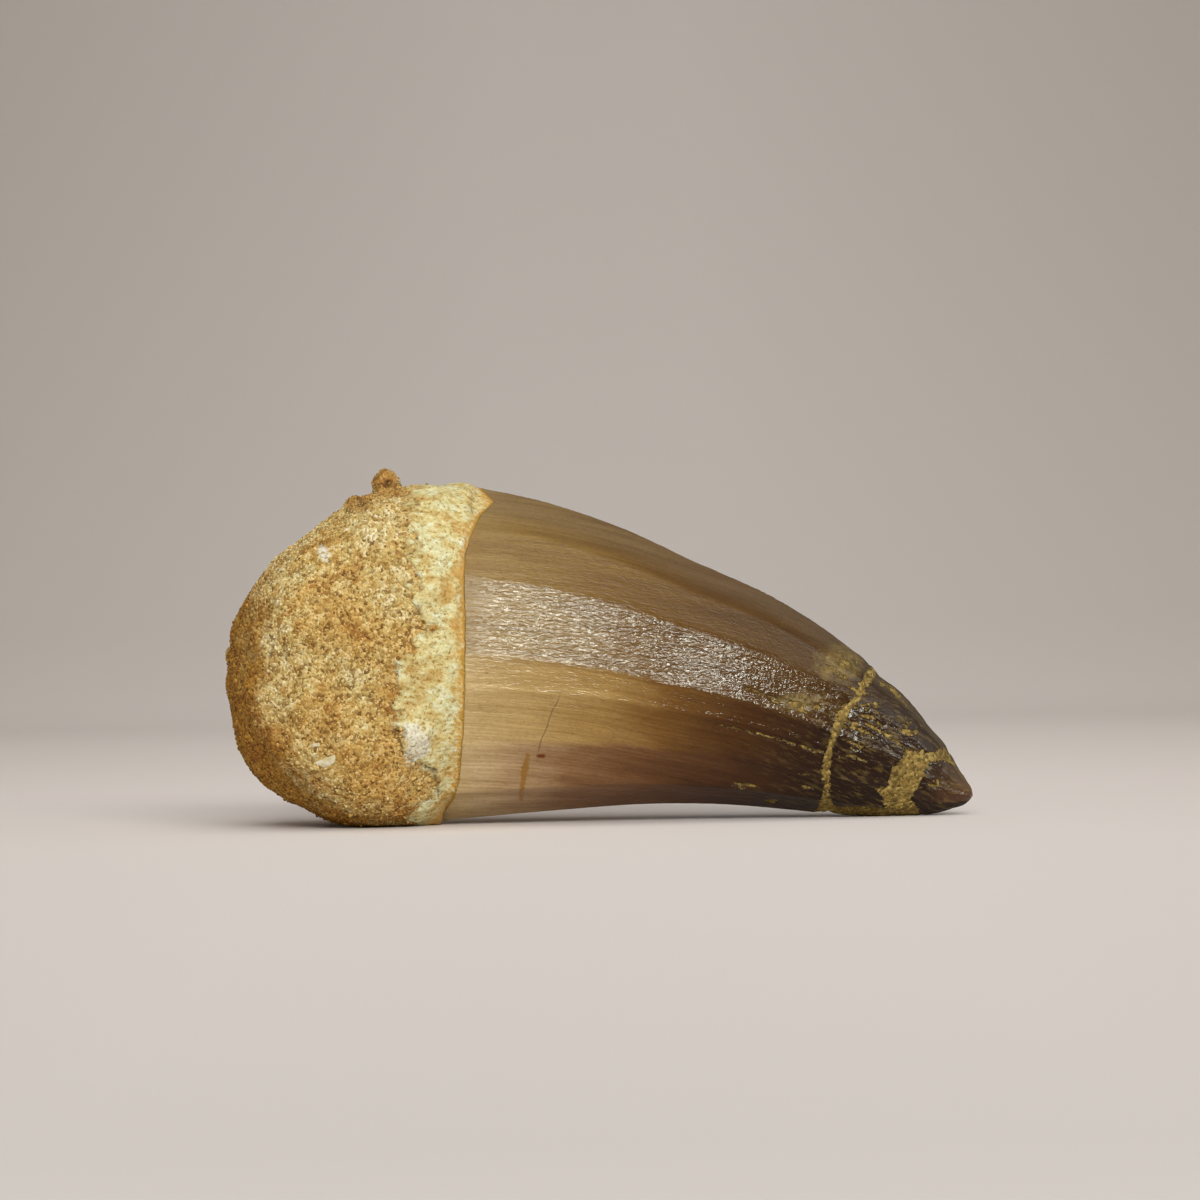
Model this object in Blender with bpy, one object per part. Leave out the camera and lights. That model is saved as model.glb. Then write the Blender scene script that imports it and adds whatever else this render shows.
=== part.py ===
"""A fossil mosasaur tooth, with the lump of sandy matrix that its root is buried in.

It rests as it is shown: on a worn flat under the lump, and on the belly of the crown close behind its tip.
+X runs from the lump to the tip, +Y away from the side that is shown, and +Z up. The origin is on the
surface that the tooth rests on, under the middle of its box.
"""

import math

import bmesh
import bpy
from mathutils import Vector, noise

MM = 0.001

# Both outlines are in millimetres, as (x, z) in the plane that the tooth curves in, drawn to a tenth. Each upper
# point has its partner in the lower list: the line between them is a cross-section, square to the curved axis.
CROWN_UPPER = (
    (-10.3, 29.4), (-4.4, 28.0), (2.1, 25.7), (8.5, 22.6), (14.5, 19.8), (19.2, 16.9), (23.7, 13.4),
    (26.9, 10.9), (29.5, 7.5), (31.2, 4.3), (31.9, 3.2), (32.4, 2.4), (32.6, 1.6),
)
CROWN_LOWER = (
    (-13.7, 0.3), (-8.0, 0.7), (-2.2, 1.1), (3.6, 1.4), (9.5, 1.3), (14.6, 0.9), (19.8, 0.3),
    (23.3, 0.0), (26.3, -0.1), (29.1, 0.1), (30.7, 0.5), (31.9, 0.9), (32.6, 1.6),
)
LUMP_UPPER = (
    (-10.6, 29.6), (-14.7, 29.6), (-19.3, 28.8), (-22.8, 26.9), (-25.5, 25.2), (-28.2, 22.9),
    (-30.4, 20.1), (-31.7, 18.0), (-32.2, 16.6), (-32.4, 15.0),
)
LUMP_LOWER = (
    (-14.0, -0.1), (-17.3, -0.3), (-20.6, -0.2), (-23.3, 0.4), (-26.3, 1.8), (-29.1, 3.6),
    (-31.0, 5.9), (-31.8, 9.2), (-32.2, 12.6), (-32.4, 15.0),
)
LUMP_HALF_THICKNESS = (10.4, 11.1, 11.3, 10.9, 10.2, 9.0, 7.3, 5.1, 2.7, 0.0)

# The crown: its flat-faced, prism-like enamel. Ridges are given by their height, from 1 at the upper cutting
# edge to -1 at the lower one, first down the side that is shown and then back up the hidden side.
CROWN_THICKNESS = 0.70
CROWN_ROUNDNESS = 1.9
SHOWN_RIDGES = (1.0, 0.76, 0.46, 0.0, -0.20, -0.53, -0.82, -1.0)
HIDDEN_RIDGES = (-0.86, -0.62, -0.28, 0.12, 0.50, 0.82)
FACET_FLATNESS = 0.9
COLUMNS_PER_FACET = 4
ROWS_PER_STATION = 2.5
TIP_LEAN = 1.6

# Where the crown once broke and was set together again: the station, half the width in stations, and depth
BREAKS = ((6.0, 0.08, 0.16), (8.55, 0.12, 0.12))
CLEAR_OF_BREAK = 1.3

# The lump of matrix: its cross-section is the crown's where they meet, and blockier further back.
LUMP_ROUNDNESS = 2.7
BLOCKY_FROM_STATION = 1.6
LUMP_COLUMNS = 84
LUMP_ROWS = 27

# The side that is shown has a flat face, which drops back at a ledge to the lump's rounded flank.
LEDGE_CENTRE = (-17.3, 15.2)
LEDGE_RADII = (12.8, 14.2)
LEDGE_DROP = 1.1
LEDGE_SLOPE = 1.3
LEDGE_WANDER = 0.09
LEDGE_WANDER_SIZE = 4.0
FACE_EDGE = 0.67

# Weathering of the lump, in millimetres: the size and height of its hollows, and of its grain
HOLLOW_SIZE = 6.0
HOLLOW_HEIGHT = 0.5
GRAIN_SIZE = 2.1
GRAIN_HEIGHT = 0.22
CALM_BY_CROWN = 2.5
CALM_BELOW = 2.0
CALM_AT_FOOT = 0.25

# Swellings of the shown side: (x, z), radius and height in millimetres. The first is the root's pale bone.
SWELLINGS = (((-16.2, 7.4), 1.9, 0.60), ((-15.6, 20.0), 3.4, 0.40), ((-26.0, 17.0), 3.0, 0.45))
SWELLING_SHOULDER = 1.4

# Knots of cemented sand: near (x, y, z), radius, and the share of it by which the middle is out of the lump
KNOTS = (((-18.2, -1.6, 29.6), 1.25, 0.45), ((-21.1, -1.2, 28.3), 0.8, -0.2), ((-25.2, 9.3, 12.5), 1.3, 0.2))
KNOT_LUMPS = 0.22
KNOT_LUMP_SIZE = 1.0

# Chips of fossil bone set in the sand: (x, z), side (-1 is shown), (length, thickness, width), turn in degrees
BONE_CHIPS = (
    ((-23.9, 5.6), -1, (1.8, 0.9, 0.75), 14.0),
    ((-23.7, 23.8), -1, (1.1, 0.9, 0.9), -35.0),
    ((-17.5, 18.5), 1, (1.9, 0.9, 0.8), 40.0),
)
CHIP_PROUD = 0.22
CHIP_BEVEL = 0.12

MERGE = 1e-6


def clear_scene():
    for thing in list(bpy.data.objects):
        bpy.data.objects.remove(thing)


def finish_material(name, colour, roughness):
    material = bpy.data.materials.new(name)
    material.use_nodes = True
    surface = material.node_tree.nodes["Principled BSDF"]
    surface.inputs["Base Color"].default_value = (*colour, 1.0)
    surface.inputs["Roughness"].default_value = roughness
    surface.inputs["Metallic"].default_value = 0.0
    return material


def along(points, station):
    """The place at a station on a smooth curve through the points; whole stations are the points themselves."""
    last = len(points) - 1
    index = min(int(station), last - 1)
    share = station - index
    before, start, end, after = (Vector(points[min(max(i, 0), last)]) for i in range(index - 1, index + 3))
    bend = 2 * before - 5 * start + 4 * end - after
    twist = 3 * start - before - 3 * end + after
    return 0.5 * (2 * start + (end - before) * share + bend * share**2 + twist * share**3)


def eased(share):
    """0 to 1, level at both ends, for a share from 0 to 1."""
    share = min(max(share, 0.0), 1.0)
    return share * share * (3 - 2 * share)


def outline_at(turn, roundness):
    """(height, depth) on a unit cross-section: from the top down the shown side, and up the hidden side."""
    up, out = math.cos(math.tau * turn), math.sin(math.tau * turn)
    power = 2 / roundness
    return Vector((math.copysign(abs(up) ** power, up), -math.copysign(abs(out) ** power, out)))


def ridge_turns():
    """How far round the crown's cross-section each ridge lies, from 0 at the top to 1 at the top again."""

    def turn(height):
        return math.acos(math.copysign(abs(height) ** (CROWN_ROUNDNESS / 2), height)) / math.tau

    return [*(turn(h) for h in SHOWN_RIDGES), *(1 - turn(h) for h in HIDDEN_RIDGES), 1.0]


def faceted_outline_at(around, turns):
    """As outline_at, with the stretch between two ridges drawn in to a nearly flat facet."""
    place = around * (len(turns) - 1)
    facet = min(int(place), len(turns) - 2)
    share = place - facet
    turn = turns[facet] + (turns[facet + 1] - turns[facet]) * share
    start, end = (outline_at(t, CROWN_ROUNDNESS) for t in turns[facet : facet + 2])
    return outline_at(turn, CROWN_ROUNDNESS).lerp(start.lerp(end, share), FACET_FLATNESS)


def break_depth(station):
    """How deep the surface lies below the crown's own at a mended break, in millimetres."""
    return sum(depth * eased(1 - abs(station - middle) / width) for middle, width, depth in BREAKS)


def crown_stations():
    """Rows along the crown: evenly spaced ones, and the shoulders and floor of each mended break."""
    last = len(CROWN_UPPER) - 1
    count = round(last * ROWS_PER_STATION)
    rows = [last * i / count for i in range(count + 1)]
    for middle, width, _ in BREAKS:
        rows = [s for s in rows if abs(s - middle) > CLEAR_OF_BREAK * width]
        rows += [middle - width, middle, middle + width]
    return sorted(rows)


def crown_surface(around, station, turns):
    top, foot = along(CROWN_UPPER, station), along(CROWN_LOWER, station)
    middle, half = (top + foot) / 2, (top - foot) / 2
    kept = 1 - break_depth(station) / max(half.length, 1.0)
    height, depth = faceted_outline_at(around, turns) * kept
    lean = TIP_LEAN * (station / (len(CROWN_UPPER) - 1)) ** 2
    place = middle + half * height
    return Vector((place.x, lean + CROWN_THICKNESS * half.length * depth, place.y)) * MM


def past_ledge(x, z):
    """0 on the flat face of the lump's shown side, and 1 where it has dropped back past the ledge."""
    reach = math.hypot((x - LEDGE_CENTRE[0]) / LEDGE_RADII[0], (z - LEDGE_CENTRE[1]) / LEDGE_RADII[1])
    reach += LEDGE_WANDER * noise.noise(Vector((x, 0.0, z)) / LEDGE_WANDER_SIZE)
    return eased((reach - 1) * LEDGE_RADII[0] / LEDGE_SLOPE)


def swelling(x, z):
    rise = 0.0
    for (swell_x, swell_z), radius, height in SWELLINGS:
        rise += height * eased(SWELLING_SHOULDER * (1 - math.hypot(x - swell_x, z - swell_z) / radius))
    return rise


def lump_surface(turn, station):
    top, foot = along(LUMP_UPPER, station), along(LUMP_LOWER, station)
    middle, half = (top + foot) / 2, (top - foot) / 2
    blockier = eased(station / BLOCKY_FROM_STATION)
    height, depth = outline_at(turn, CROWN_ROUNDNESS + (LUMP_ROUNDNESS - CROWN_ROUNDNESS) * blockier)
    place = middle + half * height
    y = max(along([(t, 0) for t in LUMP_HALF_THICKNESS], station).x, 0.0) * depth
    if depth < 0:
        on_face = min(-depth / FACE_EDGE, 1.0)
        y += on_face * (LEDGE_DROP * past_ledge(place.x, place.y) - swelling(place.x, place.y))
    return Vector((place.x, y, place.y)) * MM


def rolled_grid(columns, rows, surface):
    """A grid rolled into a closed tube. surface(share round, row) gives each corner's place, in metres."""
    tube = bmesh.new()
    bmesh.ops.create_grid(tube, x_segments=columns, y_segments=rows, size=0.5)
    for corner in tube.verts:
        corner.co = surface(corner.co.x + 0.5, round((corner.co.y + 0.5) * rows))
    bmesh.ops.remove_doubles(tube, verts=tube.verts, dist=MERGE)
    return tube


def close_holes(solid):
    rim = [edge for edge in solid.edges if edge.is_boundary]
    bmesh.ops.holes_fill(solid, edges=rim, sides=0)
    bmesh.ops.recalc_face_normals(solid, faces=solid.faces)


def wear_flat(solid):
    """Cuts away what reaches below the surface that the tooth rests on, and leaves a level face there."""
    everything = [*solid.verts, *solid.edges, *solid.faces]
    bmesh.ops.bisect_plane(solid, geom=everything, plane_co=(0, 0, 0), plane_no=(0, 0, -1), clear_outer=True)
    close_holes(solid)


def roughen(solid):
    """Weathers the lump, less under its foot and beside the crown, where it has to keep its place."""
    solid.normal_update()
    face_line = Vector(CROWN_UPPER[0]) - Vector(CROWN_LOWER[0])
    towards_crown = Vector((face_line.y, -face_line.x)).normalized()
    moves = []
    for corner in solid.verts:
        at = corner.co / MM
        rise = HOLLOW_HEIGHT * noise.fractal(at / HOLLOW_SIZE, 1.0, 2.0, 2)
        rise += GRAIN_HEIGHT * noise.noise(at / GRAIN_SIZE)
        from_crown = (Vector(LUMP_UPPER[0]) - Vector((at.x, at.z))).dot(towards_crown)
        calm = eased(from_crown / CALM_BY_CROWN)
        calm *= CALM_AT_FOOT + (1 - CALM_AT_FOOT) * eased(at.z / CALM_BELOW)
        moves.append(corner.normal * rise * calm * MM)
    for corner, move in zip(solid.verts, moves):
        corner.co += move


def add_object(name, solid, material, smooth_under=math.radians(32)):
    mesh = bpy.data.meshes.new(name)
    solid.to_mesh(mesh)
    solid.free()
    mesh.materials.append(material)
    mesh.shade_smooth()
    mesh.set_sharp_from_angle(angle=smooth_under)
    thing = bpy.data.objects.new(name, mesh)
    bpy.context.scene.collection.objects.link(thing)
    return thing


def grow_on(thing, helper):
    """Grows a helper's shape onto a solid, as one body."""
    join = thing.modifiers.new(helper.name, "BOOLEAN")
    join.operation = "UNION"
    join.object = helper
    helper.hide_render = True
    helper.display_type = "WIRE"


def make_crown():
    turns = ridge_turns()
    stations = crown_stations()
    columns = COLUMNS_PER_FACET * (len(turns) - 1)
    solid = rolled_grid(columns, len(stations) - 1, lambda around, row: crown_surface(around, stations[row], turns))
    close_holes(solid)
    wear_flat(solid)
    return add_object("crown", solid, finish_material("fossil_enamel", (0.20, 0.11, 0.045), 0.32))


def make_lump():
    last = len(LUMP_UPPER) - 1
    solid = rolled_grid(LUMP_COLUMNS, LUMP_ROWS, lambda turn, row: lump_surface(turn, last * row / LUMP_ROWS))
    roughen(solid)
    close_holes(solid)
    wear_flat(solid)
    return add_object("matrix", solid, finish_material("phosphate_sandstone", (0.55, 0.38, 0.16), 0.9))


def make_knot(number, near, radius, proud, lump):
    """A rounded knot of cemented sand, on the part of the lump's surface that is closest to the given place."""
    _, surface, normal, _ = lump.closest_point_on_mesh(Vector(near) * MM)
    centre = surface + normal * (proud * radius * MM)
    solid = bmesh.new()
    bmesh.ops.create_icosphere(solid, subdivisions=3, radius=radius * MM)
    for corner in solid.verts:
        rise = KNOT_LUMPS * noise.noise((corner.co / MM + Vector(near)) / KNOT_LUMP_SIZE)
        corner.co = centre + corner.co * (1 + rise)
    return add_object(f"knot_{number}", solid, lump.data.materials[0])


def make_chip(number, place, side, size, turn, lump):
    """A splinter of fossil bone: a small bevelled slab that stands a little out of the lump's surface."""
    x, z = place
    start = Vector((x, side * 2 * max(LUMP_HALF_THICKNESS), z)) * MM
    _, surface, _, _ = lump.ray_cast(start, Vector((0, -side, 0)))
    solid = bmesh.new()
    bmesh.ops.create_cube(solid, size=1.0)
    bmesh.ops.scale(solid, vec=Vector(size) * MM, verts=solid.verts)
    bmesh.ops.bevel(
        solid, geom=solid.edges, offset=CHIP_BEVEL * MM, segments=1, profile=0.5, affect="EDGES", material=-1
    )
    chip = add_object(f"bone_chip_{number}", solid, lump.data.materials[0])
    chip.location = surface + Vector((0, side * (CHIP_PROUD - size[1] / 2), 0)) * MM
    chip.rotation_euler = (0, math.radians(-turn), 0)
    return chip


def main():
    clear_scene()
    make_crown()
    lump = make_lump()
    bpy.context.view_layer.update()
    chips = [make_chip(number, *chip, lump) for number, chip in enumerate(BONE_CHIPS, 1)]
    knots = [make_knot(number, *knot, lump) for number, knot in enumerate(KNOTS, 1)]
    for helper in (*chips, *knots):
        grow_on(lump, helper)


main()
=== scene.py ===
# %% [markdown]
# A fossil mosasaur tooth: a curved crown of brown enamel, whose root is still set in a lump of sandy rock.
# Two solids came from the model that is loaded here. They carry the size and the main forms, and each is
# replaced by a finer mesh in the same place. The work goes from the large to the small: the shape, the
# damage on it, its fine relief, and then the finish.

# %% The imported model
import functools
import math

import bmesh
import bpy
import numpy as np
from mathutils import Matrix, Vector, noise


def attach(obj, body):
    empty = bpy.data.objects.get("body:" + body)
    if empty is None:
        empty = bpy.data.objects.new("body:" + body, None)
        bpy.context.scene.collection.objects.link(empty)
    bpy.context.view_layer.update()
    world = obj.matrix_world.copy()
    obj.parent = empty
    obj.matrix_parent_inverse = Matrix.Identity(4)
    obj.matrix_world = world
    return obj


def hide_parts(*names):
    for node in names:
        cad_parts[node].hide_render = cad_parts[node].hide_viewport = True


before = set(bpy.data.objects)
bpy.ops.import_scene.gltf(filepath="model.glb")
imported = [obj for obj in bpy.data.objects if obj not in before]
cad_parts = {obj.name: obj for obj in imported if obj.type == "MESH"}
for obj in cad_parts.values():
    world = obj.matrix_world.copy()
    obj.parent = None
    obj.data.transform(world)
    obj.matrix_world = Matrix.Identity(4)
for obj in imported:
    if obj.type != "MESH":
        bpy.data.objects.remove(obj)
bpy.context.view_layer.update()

MM = 0.001
scene = bpy.context.scene
print("packed nodes:", sorted(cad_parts))

# %% [markdown]
# The camera stands level, 39 cm in front, with a long lens. A long lens flattens a small object and shows its
# outline truly, which is how such a find is usually shown. The tooth rests a degree off the camera's level,
# so the camera is rolled by that degree instead of the tooth.

# %% Camera
CAMERA_PLACE = Vector((0.205, -393.15, 19.33))
CAMERA_ROLL = math.radians(1.0)
LENS, SENSOR = 135.0, 36.0
PICTURE_WIDTH = 1200


def add_object(name, data):
    """A new object in the scene, at the origin."""
    made = bpy.data.objects.new(name, data)
    scene.collection.objects.link(made)
    return made


camera_data = bpy.data.cameras.new("camera")
camera_data.sensor_width = SENSOR
camera_data.lens = LENS
camera_data.clip_start = 0.01
camera_data.clip_end = 20.0
camera = add_object("camera", camera_data)
right = Vector((math.cos(CAMERA_ROLL), 0, -math.sin(CAMERA_ROLL)))
up = Vector((math.sin(CAMERA_ROLL), 0, math.cos(CAMERA_ROLL)))
turned = Matrix((right, up, Vector((0, -1, 0)))).transposed().to_4x4()
camera.matrix_world = Matrix.Translation(CAMERA_PLACE * MM) @ turned
scene.camera = camera
print("camera looks along +Y from", [round(c, 1) for c in CAMERA_PLACE], "mm")

# %% [markdown]
# Marks such as cracks were read off the photograph as pixels of its 1200. The ray through a pixel is
# followed to the upright plane through the origin, which gives the mark a place in millimetres. The same
# plane tells where the camera sees any point of the tooth, so a mark can be compared with a mesh.

# %% From a pixel to a place
PIXEL_MM = -CAMERA_PLACE.y * SENSOR / LENS / PICTURE_WIDTH


def seen_at(pixel_x, pixel_y):
    """Where the ray through a pixel meets the upright plane through the origin, as (x, z) in millimetres."""
    across, rise = (pixel_x - PICTURE_WIDTH / 2) * PIXEL_MM, (PICTURE_WIDTH / 2 - pixel_y) * PIXEL_MM
    place = CAMERA_PLACE + right * across + up * rise
    return place.x, place.z


def as_seen(places):
    """The (x, z) at which the camera sees places, in millimetres in the same plane."""
    reach = -CAMERA_PLACE.y / (places[:, 1] - CAMERA_PLACE.y)
    centre = np.array([CAMERA_PLACE.x, CAMERA_PLACE.z])
    return centre + (places[:, [0, 2]] - centre) * reach[:, None]


print(f"one pixel is {PIXEL_MM:.3f} mm on the tooth")

# %% [markdown]
# Colours are written as sRGB hex values, as a paint chart has them, and one function turns them to linear
# light. One more function adds a node with its settings and its links. That keeps each finish short enough to
# be read as a list of what lies on what. An input goes by its name, or by its number where names repeat: on a
# Mix node 0 is the share, 2 and 3 are two values, and 6 and 7 are two colours.

# %% Colour and node helpers
def linear(hex_colour):
    """An sRGB hex colour such as "b09668" as linear light, with an alpha of 1."""
    channels = [int(hex_colour[i : i + 2], 16) / 255 for i in (0, 2, 4)]
    return (*(c / 12.92 if c <= 0.04045 else ((c + 0.055) / 1.055) ** 2.4 for c in channels), 1.0)


def wire(node, inputs):
    """Gives each input a value, an output, or a node, whose first output in use is then taken."""
    for socket, value in inputs.items():
        if isinstance(value, bpy.types.Node):
            value = next(output for output in value.outputs if output.enabled)
        if isinstance(value, bpy.types.NodeSocket):
            node.id_data.links.new(value, node.inputs[socket])
        else:
            node.inputs[socket].default_value = value


def add_node(tree, kind, inputs=None, stops=(), **settings):
    """Adds a node with its settings, its inputs and, on a colour ramp, its stops."""
    node = tree.nodes.new(kind if "Node" in kind else "ShaderNode" + kind)
    for name, value in settings.items():
        setattr(node, name, value)
    for place, (position, colour) in enumerate(stops):
        elements = node.color_ramp.elements
        element = elements[place] if place < len(elements) else elements.new(position)
        element.position = position
        element.color = linear(colour)
    wire(node, inputs or {})
    return node


def start_material(name):
    """A new material, its Principled shader, and add_node for its own node tree."""
    material = bpy.data.materials.new(name)
    material.use_nodes = True
    tree = material.node_tree
    return material, tree.nodes["Principled BSDF"], functools.partial(add_node, tree)


def solid_place(put):
    """The place on the object, in millimetres, for patterns that run through the solid."""
    return put("VectorMath", {0: put("TexCoord").outputs["Object"], "Scale": 1 / MM}, operation="SCALE")


# %% [markdown]
# The stage is a pale, warm grey sweep: a floor that curves up into a wall, so that no horizon line shows.
# A flat profile is drawn once and extruded sideways, then the corner is rounded by a bevel. The paper's
# colour
# carries a painted falloff of light: lightest under the object, with painted shade where it rises, at the
# sides and at its front edge, which sets the object off.

# %% Floor and backdrop
PAPER_DEPTHS, PAPER_HALF_WIDTH = (-0.25, 0.60), 0.14
SWEEP_HALF_WIDTH = 2.5
SWEEP_FRONT = -2.5
SWEEP_BACK = 0.62
SWEEP_HEIGHT = 1.6
SWEEP_CURVE = 0.30


def smooth_mesh(made, name):
    """Turns a bmesh into a mesh with smooth shading, and frees it."""
    mesh = bpy.data.meshes.new(name)
    made.to_mesh(mesh)
    made.free()
    mesh.shade_smooth()
    return mesh


sweep = bmesh.new()
profile = [(SWEEP_FRONT, 0.0), (SWEEP_BACK, 0.0), (SWEEP_BACK, SWEEP_HEIGHT)]
corners = [sweep.verts.new((-SWEEP_HALF_WIDTH, y, z)) for y, z in profile]
edges = [sweep.edges.new(pair) for pair in zip(corners, corners[1:])]
extruded = bmesh.ops.extrude_edge_only(sweep, edges=edges)["geom"]
bmesh.ops.translate(
    sweep, verts=[v for v in extruded if isinstance(v, bmesh.types.BMVert)], vec=(2 * SWEEP_HALF_WIDTH, 0, 0)
)
fold = [e for e in sweep.edges if all(v.co.y == corners[1].co.y and v.co.z == 0.0 for v in e.verts)]
bmesh.ops.bevel(
    sweep, geom=fold, offset=SWEEP_CURVE, segments=32, profile=0.5, affect="EDGES", material=-1
)
bmesh.ops.recalc_face_normals(sweep, faces=sweep.faces)
sweep_mesh = smooth_mesh(sweep, "sweep")
floor = add_object("sweep", sweep_mesh)
paper, shader, put = start_material("backdrop_paper_painted_falloff")
on_paper = put("SeparateXYZ", {0: put("TexCoord").outputs["Object"]})
depth_share = put("MapRange", {
    "Value": on_paper.outputs["Y"], "From Min": PAPER_DEPTHS[0], "From Max": PAPER_DEPTHS[1],
})
# Painted shade: darker towards the front edge and up the wall, lightest under the object.
tone = put("ValToRGB", {0: depth_share}, stops=(
    (0.02, "bdb7b2"), (0.17, "d1cac5"), (0.25, "dad3ce"), (0.38, "e1d9d4"),
    (0.55, "e0d9d3"), (0.72, "dad3cd"), (0.78, "cfc8c1"), (1.0, "bab3ad"),
))
# Painted shade towards the sides as well.
aside = put("Math", {0: on_paper.outputs["X"]}, operation="ABSOLUTE")
aside_share = put("MapRange", {"Value": aside, "From Min": 0.02, "From Max": PAPER_HALF_WIDTH})
painted_side_shade = put("ValToRGB", {0: aside_share}, stops=((0.0, "ffffff"), (1.0, "eae8e7")))
tone = put("Mix", {0: 1.0, 6: tone, 7: painted_side_shade}, data_type="RGBA", blend_type="MULTIPLY")
wire(shader, {"Base Color": tone, "Roughness": 0.9, "Specular IOR Level": 0.1})
sweep_mesh.materials.append(paper)
print("sweep:", len(sweep_mesh.polygons), "faces")

# %% [markdown]
# Soft boxes and a pale surround. The large one overhead is that of a product table, and the wide one in front
# lights the side that is shown. The crown's broad flat face leans back by about ten degrees, so a light at
# twice that height is mirrored in that face and in no other. The thin strip stands there and makes the
# wrinkles glint. A small box at the side does the same for the tip, which faces that way. These two are seen
# in reflections only, so their strength sets the gloss and leaves the colours alone.

# %% Lights
AIM = Vector((0.0, 0.0, 15.0)) * MM


def add_light(name, azimuth, elevation, distance, width, height, power, colour, glints_only=False):
    """A soft box that faces the tooth, in degrees, metres and watts. Azimuth 0 is the camera's side."""
    turn, rise = math.radians(azimuth), math.radians(elevation)
    away = Vector((math.sin(turn) * math.cos(rise), -math.cos(turn) * math.cos(rise), math.sin(rise)))
    light = bpy.data.lights.new(name, "AREA")
    light.shape = "RECTANGLE"
    light.size = width
    light.size_y = height
    light.energy = power
    light.color = linear(colour)[:3]
    lamp = add_object(name, light)
    lamp.location = AIM + away * distance
    lamp.rotation_mode = "QUATERNION"
    lamp.rotation_quaternion = away.to_track_quat("Z", "Y")
    lamp.visible_diffuse = not glints_only


add_light(
    "front_softbox", azimuth=10.0, elevation=28.0, distance=0.95, width=0.80, height=0.34,
    power=8.0, colour="fffefc",
)
add_light(
    "top_softbox", azimuth=0.0, elevation=80.0, distance=0.95, width=1.00, height=0.80,
    power=3.3, colour="fffefc",
)
add_light(
    "strip_softbox", azimuth=10.0, elevation=21.0, distance=0.70, width=0.46, height=0.08,
    power=8.5, colour="f6fcee", glints_only=True,
)
add_light(
    "side_softbox", azimuth=68.0, elevation=16.0, distance=0.80, width=0.34, height=0.16,
    power=4.8, colour="f6fcf4", glints_only=True,
)
scene.world = bpy.data.worlds.new("surround")
scene.world.use_nodes = True
wire(scene.world.node_tree.nodes["Background"], {"Color": linear("d8d6d4"), "Strength": 0.42})
scene.view_settings.view_transform = "Standard"

# %% [markdown]
# The crown. On the real tooth it is a hollow cone of dentine under a glossy skin of enamel, bent backwards,
# with a cutting edge above and below and flat, prism-like faces between. Any cross-section is square to the
# curved axis, so two outlines, upper and lower, with matching points, say all of its side view. The same
# points and ridges as in the solid are used here, with many more columns and rows, so both are one shape.

# %% Crown: outlines and cross-section
CROWN_UPPER = (
    (-10.3, 29.4), (-4.4, 28.0), (2.1, 25.7), (8.5, 22.6), (14.5, 19.8), (19.2, 16.9), (23.7, 13.4),
    (26.9, 10.9), (29.5, 7.5), (31.2, 4.3), (31.9, 3.2), (32.4, 2.4), (32.6, 1.6),
)
CROWN_LOWER = (
    (-13.7, 0.3), (-8.0, 0.7), (-2.2, 1.1), (3.6, 1.4), (9.5, 1.3), (14.6, 0.9), (19.8, 0.3),
    (23.3, 0.0), (26.3, -0.1), (29.1, 0.1), (30.7, 0.5), (31.9, 0.9), (32.6, 1.6),
)
CROWN_THICKNESS = 0.70
CROWN_ROUNDNESS = 1.9
SHOWN_RIDGES = (1.0, 0.76, 0.46, 0.0, -0.20, -0.53, -0.82, -1.0)
HIDDEN_RIDGES = (-0.86, -0.62, -0.28, 0.12, 0.50, 0.82)
FACET_FLATNESS = 0.96
RIDGE_SOFTNESS = 0.0035
TIP_LEAN = 1.6
BREAKS = ((6.0, 0.08, 0.16), (8.55, 0.12, 0.12))


def along(points, station):
    """Places at stations on a smooth curve through the points; whole stations are the points themselves."""
    points = np.array(points, float)
    last = len(points) - 1
    index = np.clip(np.floor(station).astype(int), 0, last - 1)
    share = (station - index)[:, None]
    before, start, end, after = (points[np.clip(index + step, 0, last)] for step in (-1, 0, 1, 2))
    bend = 2 * before - 5 * start + 4 * end - after
    twist = 3 * start - before - 3 * end + after
    return 0.5 * (2 * start + (end - before) * share + bend * share**2 + twist * share**3)


def eased(share):
    """0 to 1, level at both ends, for shares from 0 to 1."""
    share = np.clip(share, 0.0, 1.0)
    return share * share * (3 - 2 * share)


def outline_at(turn, roundness):
    """Height and depth on a unit cross-section: from the top down the shown side, and up the hidden side."""
    up, out = np.cos(math.tau * turn), np.sin(math.tau * turn)
    power = 2 / roundness
    return np.stack([np.sign(up) * np.abs(up) ** power, -np.sign(out) * np.abs(out) ** power], -1)


def turn_of(height):
    return math.acos(math.copysign(abs(height) ** (CROWN_ROUNDNESS / 2), height)) / math.tau


RIDGE_TURNS = np.array([*map(turn_of, SHOWN_RIDGES), *(1 - turn_of(h) for h in HIDDEN_RIDGES), 1.0])


def faceted_outline_at(turn):
    """As outline_at, with the stretch between two ridges drawn in to a nearly flat facet."""
    facet = np.clip(np.searchsorted(RIDGE_TURNS, turn, "right") - 1, 0, len(RIDGE_TURNS) - 2)
    first, second = RIDGE_TURNS[facet], RIDGE_TURNS[facet + 1]
    share = ((turn - first) / (second - first))[:, None]
    chord = outline_at(first, CROWN_ROUNDNESS) * (1 - share) + outline_at(second, CROWN_ROUNDNESS) * share
    return outline_at(turn, CROWN_ROUNDNESS) * (1 - FACET_FLATNESS) + chord * FACET_FLATNESS


def worn_outline_at(turn):
    """The faceted outline with its ridges worn round, by taking the mean of a short stretch."""
    shifts = np.linspace(-RIDGE_SOFTNESS, RIDGE_SOFTNESS, 7)
    return sum(faceted_outline_at((turn + shift) % 1.0) for shift in shifts) / len(shifts)


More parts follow.
